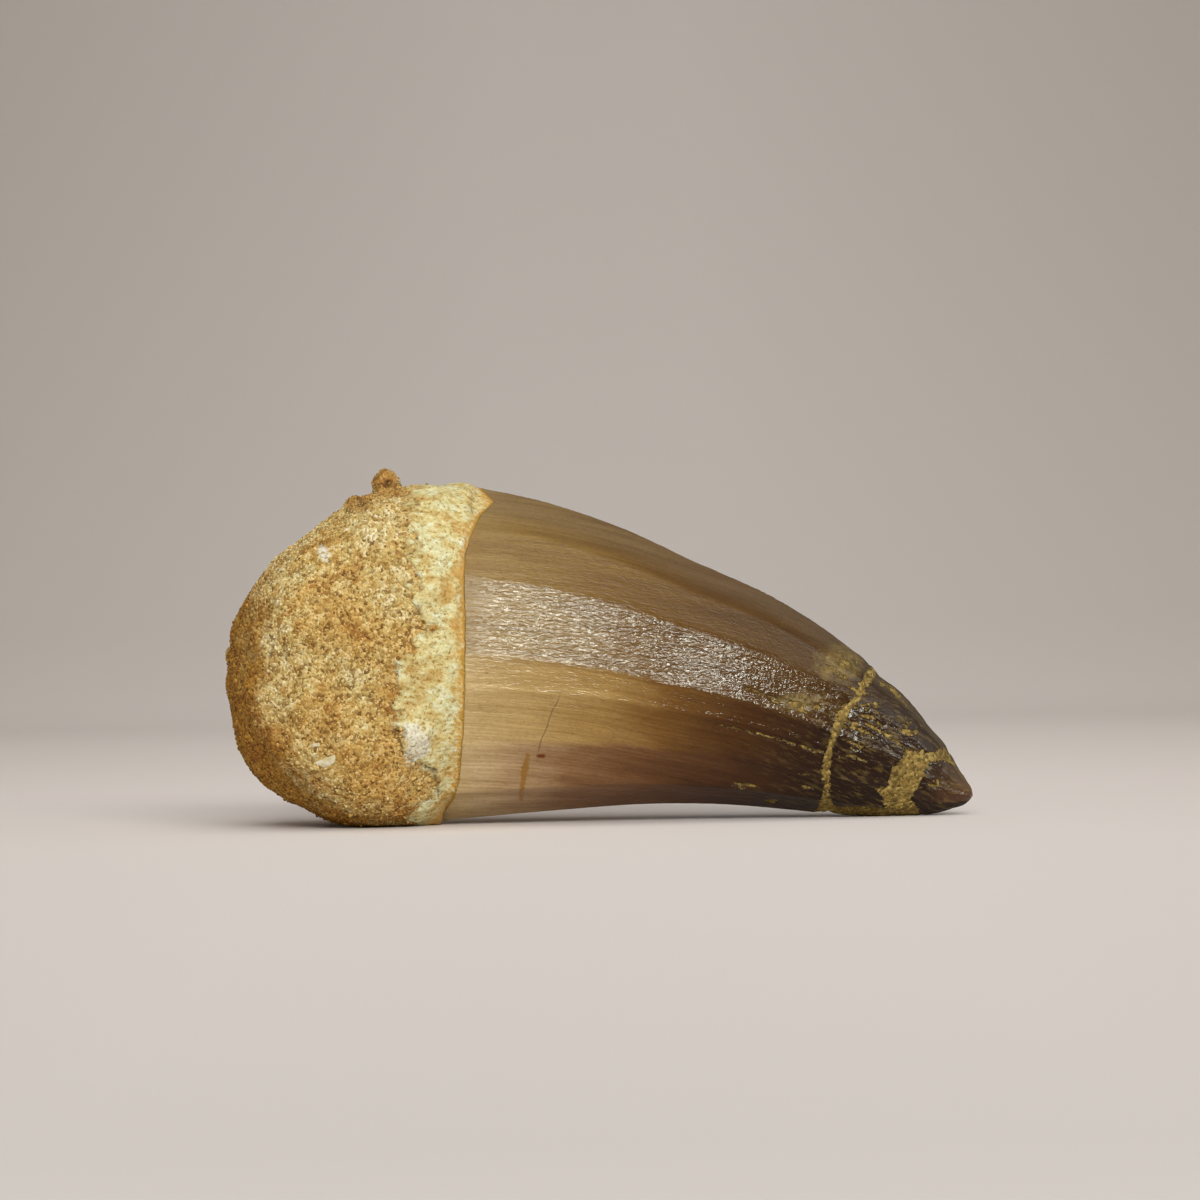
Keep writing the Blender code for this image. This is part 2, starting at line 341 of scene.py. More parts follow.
def crown_surface(turn, station):
    """Places on the crown, in millimetres."""
    top, foot = along(CROWN_UPPER, station), along(CROWN_LOWER, station)
    middle, half = (top + foot) / 2, (top - foot) / 2
    length = np.linalg.norm(half, axis=1)
    sunk = sum(depth * eased(1 - np.abs(station - at) / width) for at, width, depth in BREAKS)
    section = worn_outline_at(turn) * (1 - sunk / np.maximum(length, 1.0))[:, None]
    place = middle + half * section[:, :1]
    lean = TIP_LEAN * np.clip(station / (len(CROWN_UPPER) - 1), 0, 1) ** 2
    y = lean + CROWN_THICKNESS * length * section[:, 1]
    return np.stack([place[:, 0], y, place[:, 1]], -1)


# %% [markdown]
# The mesh is a grid, rolled up so that its two long edges meet. Its rows are spaced evenly along the curved
# axis and closer together at the tip. Each corner of each face also keeps where it lies on the unrolled skin,
# in millimetres around and along, as a UV map: the wrinkles of enamel follow that, as they do on the tooth.

# %% Crown: rolled grid
CROWN_COLUMNS = 420
CROWN_ROWS = 230
CROWN_TIP_ROWS = 12
INTO_LUMP = 0.9
CROWN_GIRTH = 80.0
HIDDEN_SIDE_SHIFT = 100.0

fine_station = np.linspace(0, len(CROWN_UPPER) - 1, 4000)
axis = (along(CROWN_UPPER, fine_station) + along(CROWN_LOWER, fine_station)) / 2
axis_mm = np.concatenate([[0], np.cumsum(np.linalg.norm(np.diff(axis, axis=0), axis=1))])
crown_length = axis_mm[-1]
first_pitch = axis_mm[400] / fine_station[400]


def station_of(down_axis):
    """The station that lies so many millimetres along the axis; the first stretch is carried on backwards."""
    return np.where(down_axis < 0, down_axis / first_pitch, np.interp(down_axis, axis_mm, fine_station))


def rolled_grid(columns, rows):
    """A bmesh grid that is about to be rolled up, and the column and row of each of its points."""
    made = bmesh.new()
    bmesh.ops.create_grid(made, x_segments=columns, y_segments=rows, size=0.5)
    flat = np.array([v.co for v in made.verts]) + 0.5
    return made, np.rint(flat[:, 0] * columns).astype(int), np.rint(flat[:, 1] * rows).astype(int)


def close_roll(made):
    """Joins the long edges of a rolled grid and closes its ends."""
    bmesh.ops.remove_doubles(made, verts=made.verts, dist=1e-7)
    bmesh.ops.holes_fill(made, edges=[e for e in made.edges if e.is_boundary], sides=0)
    bmesh.ops.recalc_face_normals(made, faces=made.faces)


row_mm = np.concatenate([
    np.linspace(-INTO_LUMP, crown_length - 1.0, CROWN_ROWS - CROWN_TIP_ROWS + 1),
    crown_length - np.geomspace(0.9, 0.02, CROWN_TIP_ROWS - 1),
    [crown_length],
])
row_station = station_of(row_mm)
chord_mm = np.linalg.norm(along(CROWN_UPPER, row_station) - along(CROWN_LOWER, row_station), axis=1)
row_girth = CROWN_GIRTH * chord_mm / chord_mm[0]

crown_bm, column, row = rolled_grid(CROWN_COLUMNS, CROWN_ROWS)
grain_uv = crown_bm.loops.layers.uv.new("grain")
for name in ("column", "row"):
    crown_bm.verts.layers.int.new(name)
column_layer, row_layer = (crown_bm.verts.layers.int[name] for name in ("column", "row"))
smooth_place = crown_surface(column / CROWN_COLUMNS, row_station[row]) * MM
for vert, place, c, r in zip(crown_bm.verts, smooth_place.tolist(), column.tolist(), row.tolist()):
    vert.co = place
    vert[column_layer], vert[row_layer] = c, r
for face in crown_bm.faces:
    on_shown_side = sum(loop.vert[column_layer] for loop in face.loops) / 4 < CROWN_COLUMNS / 2
    middle, shift = (0.25, 0.0) if on_shown_side else (0.75, HIDDEN_SIDE_SHIFT)
    for loop in face.loops:
        around = (loop.vert[column_layer] / CROWN_COLUMNS - middle) * row_girth[loop.vert[row_layer]]
        loop[grain_uv].uv = (around + shift, row_mm[loop.vert[row_layer]])
close_roll(crown_bm)
crown_mesh = smooth_mesh(crown_bm, "enamel_crown")
print(f"crown axis: {crown_length:.1f} mm, {len(crown_mesh.polygons)} faces")

# %% [markdown]
# Damage. The crown broke twice near its tip, long ago, and rock cemented it again: a sandy seam runs round
# it, and behind the tip a patch of enamel is gone. Each mark is a stroke with half its width or an outline,
# in pixels of the photograph. What is kept at every point of the mesh is not a colour but a depth inside the
# mark, in millimetres, because a depth can be given a ragged edge later, finer than the mesh itself.

# %% Crown: where the damage lies
SEAM = (
    ((872, 672), 6.0), ((866, 681), 4.3), ((861, 690), 3.8), ((856, 700), 3.2), ((847, 708), 4.6),
    ((841, 719), 5.6), ((836, 731), 5.2), ((834, 738), 3.0), ((830, 748), 3.3), ((828, 757), 4.4),
    ((826, 766), 4.6), ((826, 777), 3.9), ((827, 788), 3.3), ((826, 798), 4.0), ((826, 806), 7.5),
    ((826, 815), 12.0),
)
TIP_PATCH = (
    (942, 747), (949, 751), (957, 767), (950, 763), (940, 760), (930, 763), (926, 771), (921, 780),
    (921, 786), (918, 791), (911, 799), (915, 804), (920, 811), (918, 820), (893, 820), (884, 806),
    (882, 796), (876, 789), (888, 785), (890, 776), (893, 767), (899, 764), (903, 756), (907, 748),
    (915, 751), (923, 750), (930, 753),
)
SANDY_STREAKS = (
    (((854, 708), (866, 704), (882, 703)), 1.2), (((843, 726), (855, 728), (868, 732)), 1.4),
    (((839, 757), (849, 755), (866, 762)), 1.3), (((877, 730), (891, 738), (906, 748)), 1.0),
    (((884, 680), (894, 685), (901, 693)), 2.4), (((901, 693), (915, 709)), 1.0),
    (((826, 812), (860, 812), (893, 814)), 5.5), (((748, 688), (767, 696), (777, 698), (807, 705)), 0.9),
    (((723, 726), (748, 732), (767, 736), (792, 743), (811, 750), (824, 752)), 1.0),
    (((797, 774), (815, 775)), 0.6), (((799, 786), (813, 788)), 0.6), (((769, 802), (776, 801)), 2.0),
)
MOTTLED_PLACES = (
    ((872, 722), (48, 34)), ((856, 746), (34, 22)), ((858, 690), (30, 20)), ((908, 728), (34, 30)),
    ((800, 704), (54, 18)), ((842, 664), (34, 26)), ((744, 786), (42, 12)), ((935, 785), (16, 12)),
)
VEIN_MM, VEIN_TURN = (1.2, 0.32), math.radians(22)
VEIN_DEPTH, VEIN_SPREAD, VEIN_FADE = 0.45, 0.03, 0.47
SANDY_CRACK = (((528, 755), 1.8), ((526, 764), 3.4), ((524, 775), 3.6), ((522, 787), 2.4), ((521, 800), 1.8))
RUST_SPOT = (((538, 756), 1.8), ((543, 756), 2.2))
HAIRLINE = ((562, 687), (560, 695), (550, 717), (545, 731), (539, 748), (538, 755))
ENAMEL_MARGIN = (
    (478, 470), (478, 486), (494, 502), (480, 516), (471, 535), (465, 555), (464, 583), (465, 619),
    (465, 690), (463, 733), (461, 759), (459, 782), (454, 798), (440, 818), (436, 830),
)
HIDDEN_MARGIN, HIDDEN_MARGIN_WANDER = 0.45, 0.7
SIDE_BLEND_MM = 3.0
DUSTY_PLACES = (((838, 664), (50, 38)), ((800, 702), (58, 20)))
RAGGED_SIZE, RAGGED_DEPTH = 0.5, 0.14
FLAKES_CENTRE, FLAKE_SIZE, FLAKE_DEPTH = (878, 730), (1.6, 0.7, 0.5), 0.9
FAR_OUTSIDE = -9.0


def stroke_depth(spots, stroke):
    """How far inside a stroke of (pixel, half width) points each spot lies, in mm; negative outside it."""
    depth = np.full(len(spots), -np.inf)
    for (first, wide), (second, narrow) in zip(stroke, stroke[1:]):
        start, end = np.array(seen_at(*first)), np.array(seen_at(*second))
        share = np.clip((spots - start) @ (end - start) / ((end - start) @ (end - start)), 0, 1)
        away = np.linalg.norm(spots - start - share[:, None] * (end - start), axis=1)
        depth = np.maximum(depth, (wide + (narrow - wide) * share) * PIXEL_MM - away)
    return depth


def evenly_wide(points, half_width):
    return [(point, half_width) for point in points]


def patch_depth(spots, outline):
    """How far inside a closed outline of pixels each spot lies, in millimetres; negative outside it."""
    closed = [*outline, outline[0]]
    inside = np.zeros(len(spots), bool)
    for first, second in zip(closed, closed[1:]):
        (x1, z1), (x2, z2) = seen_at(*first), seen_at(*second)
        crosses = (spots[:, 1] > min(z1, z2)) & (spots[:, 1] <= max(z1, z2))
        inside ^= crosses & (spots[:, 0] < x1 + (spots[:, 1] - z1) * (x2 - x1) / (z2 - z1))
    to_edge = -stroke_depth(spots, evenly_wide(closed, 0.0))
    return np.where(inside, to_edge, -to_edge)


def line_at(spots, points):
    """The x at which a line of pixels, drawn from top to bottom, passes each spot's height."""
    line = np.array([seen_at(*point) for point in points])[::-1]
    return np.interp(spots[:, 1], line[:, 1], line[:, 0])


def noise_at(places, size, seed=0.0):
    """Smooth noise of about -1 to 1 at places, in patches of about the given size."""
    return np.array([noise.noise(p) for p in (places / np.array(size) + seed).tolist()])


def nearness(spots, discs):
    """1 at the centre of any of the round places, 0 at their edges and beyond."""
    near = np.zeros(len(spots))
    for centre, (across, tall) in discs:
        reach = np.linalg.norm((spots - seen_at(*centre)) / (np.array([across, tall]) * PIXEL_MM), axis=1)
        near = np.maximum(near, 1 - eased(reach))
    return near


def share_shown(places):
    """1 on the side that is shown and 0 on the hidden side, with a blend between the two."""
    return eased(0.5 - places[:, 1] / SIDE_BLEND_MM)


def root_bone(places, down_axis):
    """How far a place lies on the root's side of the enamel's margin, in millimetres."""
    spots, shown = as_seen(places), share_shown(places)
    seen = line_at(spots, ENAMEL_MARGIN) - spots[:, 0]
    unseen = HIDDEN_MARGIN + HIDDEN_MARGIN_WANDER * noise_at(places, 3.0, 2.0) - down_axis
    return seen * shown + unseen * (1 - shown)


def vein_depth(spots):
    """Thin veins of sand along the crown, which fade out away from the mottled places."""
    along_vein = spots @ np.array([math.cos(VEIN_TURN), -math.sin(VEIN_TURN)])
    across_vein = spots @ np.array([math.sin(VEIN_TURN), math.cos(VEIN_TURN)])
    veins = noise_at(np.stack([along_vein, across_vein, 0 * across_vein], -1), (*VEIN_MM, 1.0), 7.0)
    return VEIN_DEPTH * veins + VEIN_SPREAD - VEIN_FADE * (1 - nearness(spots, MOTTLED_PLACES))


def sandy_filling(places, spots, height, hidden):
    """The depth inside the sandy fillings. The hidden side has the seam, and flakes lost here and there."""
    wander = 1.3 * (1 - height**2) * noise_at(places, 5.0, 3.0)
    flat = np.where(hidden[:, None], places[:, [0, 2]] + wander[:, None] * np.array([1.0, 0.3]), spots)
    shown_only = patch_depth(spots, TIP_PATCH)
    for points, half_width in SANDY_STREAKS:
        shown_only = np.maximum(shown_only, stroke_depth(spots, evenly_wide(points, half_width)))
    shown_only = np.maximum(shown_only, vein_depth(spots))
    aside = np.abs(places[:, 0] - seen_at(*FLAKES_CENTRE)[0])
    flakes = FLAKE_DEPTH * noise_at(places, FLAKE_SIZE, 21.0) - 0.42 - 0.05 * aside
    filling = np.maximum(stroke_depth(flat, SEAM), np.where(hidden, flakes, shown_only))
    ragged = noise_at(places, RAGGED_SIZE) + 0.7 * noise_at(places, 0.5 * RAGGED_SIZE)
    return filling + RAGGED_DEPTH * ragged


# %% [markdown]
# Relief. Under a lens the enamel of these teeth is finely wrinkled along its length. The widest wrinkles and
# the low flutes are real in the mesh, a few hundredths of a millimetre high; the ones narrower than the mesh
# can hold follow in the finish. Each ridge has a low bead. Where rock fills a gap, the surface drops by a
# tenth and turns sandy, and the fragment between the two breaks lies lower along its upper edge.

# %% Crown: relief
FLUTE_SIZE, FLUTE_HEIGHT, FULL_FLUTE_GIRTH = (2.3, 15.0, 1.0), 0.04, 40.0
WRINKLE_SIZE, WRINKLE_HEIGHT, WRINKLED_FROM, WRINKLED_OVER = (0.5, 1.6, 1.0), 0.018, 0.5, 5.0
DIMPLE_SIZE, DIMPLE_HEIGHT, DIMPLED_FROM, DIMPLED_OVER = 0.6, 0.040, 22.0, 14.0
RIDGE_BEADS = ((0.76, 0.02), (0.46, 0.02), (0.0, 0.065), (-0.20, 0.090), (-0.53, 0.02))
BEAD_HALF_WIDTH, BEAD_WAVER_SIZE = 0.26, (9.0, 1.4, 1.0)
FILLING_DROP, FILLING_EDGE = 0.09, 0.24
SAND_RELIEF, SAND_RELIEF_SIZES = 0.05, (0.45, 0.25)
FRAGMENT_START, FRAGMENT_STEP, FRAGMENT_END, FRAGMENT_SLOPE = 35.0, 1.2, 43.5, 2.5
FRAGMENT_SUNK, FRAGMENT_EDGE = 0.45, 0.6
FULL_RELIEF_GIRTH = 6.0


def read_points(mesh):
    """Every vertex's place, in millimetres, and its normal."""
    places, normals = (np.zeros(3 * len(mesh.vertices), np.float32) for _ in range(2))
    mesh.vertices.foreach_get("co", places)
    mesh.vertex_normals.foreach_get("vector", normals)
    return places.reshape(-1, 3).astype(float) / MM, normals.reshape(-1, 3).astype(float)


def set_points(mesh, places):
    mesh.vertices.foreach_set("co", (places * MM).astype(np.float32).ravel())
    mesh.update()


def take_whole_numbers(mesh, name):
    """Reads an attribute that was only needed to build the mesh, and removes it."""
    values = np.zeros(len(mesh.vertices), np.int32)
    mesh.attributes[name].data.foreach_get("value", values)
    mesh.attributes.remove(mesh.attributes[name])
    return values


def keep(mesh, **measures):
    """Stores numbers for each vertex, which a finish reads by their names."""
    for name, values in measures.items():
        mesh.attributes.new(name, "FLOAT", "POINT").data.foreach_set("value", values.astype(np.float32))


column, row = take_whole_numbers(crown_mesh, "column"), take_whole_numbers(crown_mesh, "row")
places, normals = read_points(crown_mesh)
spots = as_seen(places)
turn, down_axis = column / CROWN_COLUMNS, row_mm[row]
hidden = (turn > 0.5) & (turn < 1.0)
height = worn_outline_at(turn)[:, 0]
filling = sandy_filling(places, spots, height, hidden)
bone = root_bone(places, down_axis) + 0.05 * noise_at(places, RAGGED_SIZE)

around = (turn - np.where(hidden, 0.75, 0.25)) * row_girth[row] + HIDDEN_SIDE_SHIFT * hidden
unrolled = np.stack([around, down_axis, np.zeros_like(around)], -1)
wrinkled = eased((down_axis - WRINKLED_FROM) / WRINKLED_OVER)
dimpled = eased((down_axis - DIMPLED_FROM) / DIMPLED_OVER)
relief = FLUTE_HEIGHT * noise_at(unrolled, FLUTE_SIZE) * eased(row_girth[row] / FULL_FLUTE_GIRTH)
relief += WRINKLE_HEIGHT * wrinkled * (1 - 0.5 * dimpled) * noise_at(unrolled, WRINKLE_SIZE, 5.0)
relief += DIMPLE_HEIGHT * dimpled * noise_at(places, DIMPLE_SIZE)
for at, high in RIDGE_BEADS:
    aside = (height - at) * chord_mm[row] / 2 / BEAD_HALF_WIDTH
    relief += high * wrinkled * np.exp(-(aside**2)) * (0.75 + 0.5 * noise_at(unrolled, BEAD_WAVER_SIZE, at))
in_sand = eased((filling + FILLING_EDGE / 2) / FILLING_EDGE)
coarse_sand, fine_sand = SAND_RELIEF_SIZES
sandy = SAND_RELIEF * (noise_at(places, coarse_sand, 11.0) + 0.6 * noise_at(places, fine_sand, 4.0))
relief = relief * (1 - in_sand) + in_sand * (sandy - FILLING_DROP)
on_fragment = eased((down_axis - FRAGMENT_START) / FRAGMENT_STEP)
on_fragment *= eased((FRAGMENT_END - down_axis) / FRAGMENT_SLOPE)
relief -= FRAGMENT_SUNK * on_fragment * eased((height - FRAGMENT_EDGE) / (1 - FRAGMENT_EDGE))
relief *= np.clip(row_girth[row] / FULL_RELIEF_GIRTH, 0, 1)
places += normals * relief[:, None]
places[:, 2] = np.maximum(places[:, 2], 0.0)
set_points(crown_mesh, places)

hairline = spots[:, 0] - line_at(spots, HAIRLINE) + 0.10 * noise_at(places, 0.8)
hairline_foot, hairline_top = (seen_at(*HAIRLINE[place])[1] for place in (-1, 0))
on_hairline = eased((spots[:, 1] - hairline_foot) / 0.6) * eased((hairline_top - spots[:, 1]) / 1.6)
dust = nearness(spots, DUSTY_PLACES)
keep(
    crown_mesh, filling=filling, bone=bone, chord=height, hairline=hairline,
    on_hairline=np.where(hidden, 0.0, on_hairline),
    rust=np.where(hidden, FAR_OUTSIDE, stroke_depth(spots, RUST_SPOT)),
    sandy_crack=np.where(hidden, FAR_OUTSIDE, stroke_depth(spots, SANDY_CRACK)),
    dust=np.where(hidden, 0.4 * dust, dust),
)

crown = add_object("enamel_crown", crown_mesh)
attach(crown, "root")
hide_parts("crown")
print(f"crown: {len(crown_mesh.vertices)} points, relief {relief.min():.2f} to {relief.max():.2f} mm")

# %% [markdown]
# The finish of the crown. Fossil enamel is glassy apatite that has taken up iron and manganese from the
# sediment: tan by the root, then chestnut, and nearly black near the tip. It is one Principled shader with
# the index of apatite and a low roughness. The colour is laid down in order: the change from root to tip, the
# darker lower faces, streaks along the wrinkles, films and dust of the rock, then cracks, sand and bone where
# the depths say. Patterns that follow the wrinkles are noise drawn out along the unrolled skin.

# %% Finish: polished fossil enamel
APATITE_IOR = 1.63
PATCH_MM, WANDER_MM, EDGE_MM = (2.4, 7.0), 9.0, (0.6, 6.0)
STREAKS = ((1.7, 16.0, "cdbfaa", 0.55), (0.20, 9.0, "cfc4b6", 0.60))
FINE_WRINKLE_MM, FINE_DOT_MM, FINE_BUMP_MM = (0.21, 0.75), 0.27, 0.085
SPECK_MM, FILM_MM, DUST_MM = 0.385, (0.34, 1.7), 0.77
FILLING_GRAIN_MM, COLOURS_END_MM = 0.278, 48.0


def drawn_out(put, place, sizes_mm, **inputs):
    """Noise in patches of the given sizes, in millimetres, along the axes of the place."""
    scaled = put("VectorMath", {0: place, 1: [1 / size for size in sizes_mm]}, operation="MULTIPLY")
    return put("TexNoise", {"Vector": scaled, "Scale": 1.0, **inputs})


enamel, shader, put = start_material("polished_fossil_enamel")
skin = put("UVMap", uv_map="grain")
solid_mm = solid_place(put)
from_root_mm = put("SeparateXYZ", {0: skin}).outputs["Y"]
chord, filling_mm, bone_mm, dust, hairline, on_hairline, rust, sandy_crack = (
    put("Attribute", attribute_name=name).outputs["Fac"]
    for name in ("chord", "filling", "bone", "dust", "hairline", "on_hairline", "rust", "sandy_crack")
)

# Where one colour gives way to the next wanders by a few millimetres, so that no band has a ruled edge.
patches = drawn_out(put, skin, (*PATCH_MM, 1.0), Detail=3.0)
wandering_mm = put("Math", {0: patches, 1: WANDER_MM, 2: -WANDER_MM / 2}, operation="MULTIPLY_ADD")
along_mm = put("Math", {0: from_root_mm, 1: wandering_mm}, operation="ADD")
share = put("MapRange", {"Value": along_mm, "From Max": COLOURS_END_MM})
# The last stop of these two ramps lightens the very tip: its own reddish brown, and in part a painted sheen.
upper_colour = put("ValToRGB", {0: share}, stops=(
    (0.00, "957a48"), (0.10, "886c36"), (0.25, "765826"), (0.40, "634517"),
    (0.62, "4f3514"), (0.76, "301c0b"), (0.88, "2e1b0d"), (1.00, "684c32"),
))
lower_colour = put("ValToRGB", {0: share}, stops=(
    (0.00, "c8b07e"), (0.12, "b99e68"), (0.27, "9f7f48"), (0.38, "765324"),
    (0.52, "4a2c0c"), (0.68, "281405"), (0.88, "261409"), (1.00, "5e3f28"),
))
edge_noise = drawn_out(put, skin, (*EDGE_MM, 1.0), Detail=3.0)
edge_height = put("Math", {0: edge_noise, 1: 0.10, 2: chord}, operation="MULTIPLY_ADD")
is_lower = put("MapRange", {"Value": edge_height, "From Min": 0.08, "From Max": 0.02})
colour = put("Mix", {0: is_lower, 6: upper_colour, 7: lower_colour}, data_type="RGBA")

# The lowest faces have taken up manganese as well, which turns their brown towards purple.
is_lowest = put("MapRange", {"Value": edge_height, "From Min": -0.44, "From Max": -0.50})
lowest_colour = put("ValToRGB", {0: share}, stops=(
    (0.00, "e6d4b0"), (0.10, "c2a77f"), (0.22, "8e6a47"), (0.36, "6f4b2b"),
    (0.52, "462910"), (0.70, "261305"), (1.00, "25140a"),
))
off_root = put("MapRange", {"Value": from_root_mm, "From Min": 0.0, "From Max": 5.0})
is_lowest = put("Math", {0: is_lowest, 1: off_root}, operation="MULTIPLY")
colour = put("Mix", {0: is_lowest, 6: colour, 7: lowest_colour}, data_type="RGBA")
# A grey along the top edge is a painted reflection of the pale surround.
painted_top_reflection = put("MapRange", {"Value": edge_height, "From Min": 0.84, "From Max": 0.94, "To Max": 0.3})
colour = put("Mix", {0: painted_top_reflection, 6: colour, 7: linear("7c6f5c")}, data_type="RGBA")

# Streaks follow the wrinkles: broad, soft ones of a millimetre or two, and between them fine ones, each as
# wide as a few prisms of enamel that took up more or less iron.
for wide_mm, long_mm, darkest, amount in STREAKS:
    streaks = drawn_out(put, skin, (wide_mm, long_mm, 1.0), Detail=3.0, Roughness=0.55)
    streak_shade = put("ValToRGB", {0: streaks}, stops=((0.34, darkest), (0.62, "ffffff")))
    colour = put("Mix", {0: amount, 6: colour, 7: streak_shade}, data_type="RGBA", blend_type="MULTIPLY")
speck = put("TexNoise", {"Vector": solid_mm, "Scale": 1 / SPECK_MM, "Detail": 4.0, "Roughness": 0.7})
speck_shade = put("ValToRGB", {0: speck}, stops=((0.32, "c4baaa"), (0.52, "ffffff")))
colour = put("Mix", {0: 0.35, 6: colour, 7: speck_shade}, data_type="RGBA", blend_type="MULTIPLY")

# Fine wrinkles, a fifth of a millimetre wide as on the tooth. Towards the tip they break up into dots.
wrinkles = drawn_out(put, skin, (*FINE_WRINKLE_MM, 1.0), Detail=2.0, Distortion=0.7)
dots = put("TexNoise", {"Vector": solid_mm, "Scale": 1 / FINE_DOT_MM, "Detail": 1.5})
dotted = put("MapRange", {
    "Value": from_root_mm, "From Min": 14.0, "From Max": 38.0, "To Min": 0.1, "To Max": 0.75,
})
fine = put("Mix", {0: dotted, 2: wrinkles, 3: dots}, data_type="FLOAT")

# Near the tip a film of the rock is left in the wrinkles, as khaki streaks along the crown.
films = drawn_out(put, skin, (*FILM_MM, 1.0), Detail=4.0, Roughness=0.7)
film_zone = put("MapRange", {"Value": along_mm, "From Min": 24.0, "From Max": 37.0})
film_share = put("MapRange", {"Value": films, "From Min": 0.51, "From Max": 0.66, "To Max": 0.55})
film_share = put("Math", {0: film_share, 1: film_zone}, operation="MULTIPLY")
colour = put("Mix", {0: film_share, 6: colour, 7: linear("75602f")}, data_type="RGBA")

# Dust of the rock lies on the enamel where it was not cleaned off, and stays longest between the wrinkles.
dust_noise = put("TexNoise", {"Vector": solid_mm, "Scale": 1 / DUST_MM, "Detail": 4.0, "Roughness": 0.7})
between = put("Math", {0: fine, 1: -0.9, 2: 0.95}, operation="MULTIPLY_ADD")
dusty = put("Math", {0: dust, 1: dust_noise}, operation="MULTIPLY")
dusty = put("Math", {0: dusty, 1: between}, operation="MULTIPLY")
dust_share = put("MapRange", {"Value": dusty, "From Min": 0.10, "From Max": 0.33, "To Max": 0.85})
colour = put("Mix", {0: dust_share, 6: colour, 7: linear("8d7740")}, data_type="RGBA")

# The hairline crack is a dark line a twentieth of a millimetre wide, drawn a little wider so that it shows.
off_hairline = put("Math", {0: hairline}, operation="ABSOLUTE")
in_hairline = put("MapRange", {"Value": off_hairline, "From Min": 0.10, "From Max": 0.03, "To Max": 0.5})
in_hairline = put("Math", {0: in_hairline, 1: on_hairline}, operation="MULTIPLY")
colour = put("Mix", {0: in_hairline, 6: colour, 7: linear("3c2410")}, data_type="RGBA")
in_rust = put("MapRange", {"Value": rust, "From Min": -0.08, "From Max": 0.08})
colour = put("Mix", {0: in_rust, 6: colour, 7: linear("643206")}, data_type="RGBA")
broken_up = put("Math", {0: speck, 1: 0.9, 2: sandy_crack}, operation="MULTIPLY_ADD")
in_crack = put("MapRange", {"Value": broken_up, "From Min": 0.38, "From Max": 0.56, "To Max": 0.9})
colour = put("Mix", {0: in_crack, 6: colour, 7: linear("8e6426")}, data_type="RGBA")

# Sand in the breaks: khaki to straw, grain by grain. The wrinkles of the enamel fray its edge.
grains = put("TexVoronoi", {"Vector": solid_mm, "Scale": 1 / FILLING_GRAIN_MM})
grain_tone = put("SeparateColor", {0: grains.outputs["Color"]})
filling_colour = put("ValToRGB", {0: grain_tone}, stops=(
    (0.0, "56431a"), (0.35, "745d28"), (0.75, "8a7134"), (1.0, "a38b4e"),
))
frayed = put("Math", {0: fine, 1: 0.9, 2: -0.43}, operation="MULTIPLY_ADD")
frayed_filling = put("Math", {0: filling_mm, 1: frayed}, operation="SUBTRACT")
in_filling = put("MapRange", {"Value": frayed_filling, "From Min": -0.04, "From Max": 0.06})
colour = put("Mix", {0: in_filling, 6: colour, 7: filling_colour}, data_type="RGBA")

# The root's bone begins with a stained orange line.
bone_stops = ((0.0, "a8802e"), (1.0, "c8a452"))
bone_colour = put("ValToRGB", {0: put("MapRange", {"Value": bone_mm, "From Max": 1.0})}, stops=bone_stops)
in_bone = put("MapRange", {"Value": bone_mm, "From Min": -0.06, "From Max": 0.04})
colour = put("Mix", {0: in_bone, 6: colour, 7: bone_colour}, data_type="RGBA")

in_soft = put("Math", {0: in_filling, 1: in_bone}, operation="MAXIMUM")
sand_bumps = put("Math", {0: grains, 1: -1.7}, operation="MULTIPLY")
surface_height = put("Mix", {0: in_soft, 2: fine, 3: sand_bumps}, data_type="FLOAT")
bump = put("Bump", {"Height": surface_height, "Strength": 1.0, "Distance": FINE_BUMP_MM * MM})

# The middle faces are polished. Those above and below, and both ends, kept more of a satin surface.
rough_enamel = put("MapRange", {"Value": streaks, "To Min": 0.05, "To Max": 0.15})
for measure, glossy_at, satin_at, added in (
    (edge_height, 0.50, 0.58, 0.35), (edge_height, -0.15, -0.55, 0.32),
    (from_root_mm, 3.0, 0.5, 0.3), (from_root_mm, 34.0, 40.0, 0.15),
):
    satin = put("MapRange", {"Value": measure, "From Min": glossy_at, "From Max": satin_at, "To Max": added})
    rough_enamel = put("Math", {0: rough_enamel, 1: satin}, operation="ADD")
rough = put("Mix", {0: in_soft, 2: rough_enamel, 3: 0.85}, data_type="FLOAT")
rough = put("Mix", {0: film_share, 2: rough, 3: 0.6}, data_type="FLOAT")
rough = put("Mix", {0: dust_share, 2: rough, 3: 0.7}, data_type="FLOAT")
wire(shader, {
    "Base Color": colour, "Roughness": rough, "Normal": bump, "IOR": APATITE_IOR, "Specular IOR Level": 0.12,
})
crown_mesh.materials.append(enamel)
print("enamel:", len(enamel.node_tree.nodes), "nodes")

# %% [markdown]
# The lump. It is a phosphate-rich sandstone, cemented just enough to hold: grains of a third of a millimetre,
# straw, ochre and rust. The two solids keep a small gap where the real tooth has none: the bone of the root
# runs up onto the enamel and ends there in an edge that wanders. So a sleeve of bone is rolled from the
# crown's own surface, a little proud of it, and it dives under the enamel at that edge. Sleeve and lump are
# then remeshed together in even cells, which makes one skin of them that is fine enough to carry relief.

# %% Lump: bone sleeve and even mesh
SLEEVE_COLUMNS, SLEEVE_ROWS, SLEEVE_REACH = 320, 40, 3.6
SLEEVE_PROUD, SLEEVE_DIVE, SLEEVE_EDGE = 0.07, 0.45, 0.30
LUMP_VOXEL = 0.188
SMOOTHING_ROUNDS = 4
RIM_ROUNDS = 12

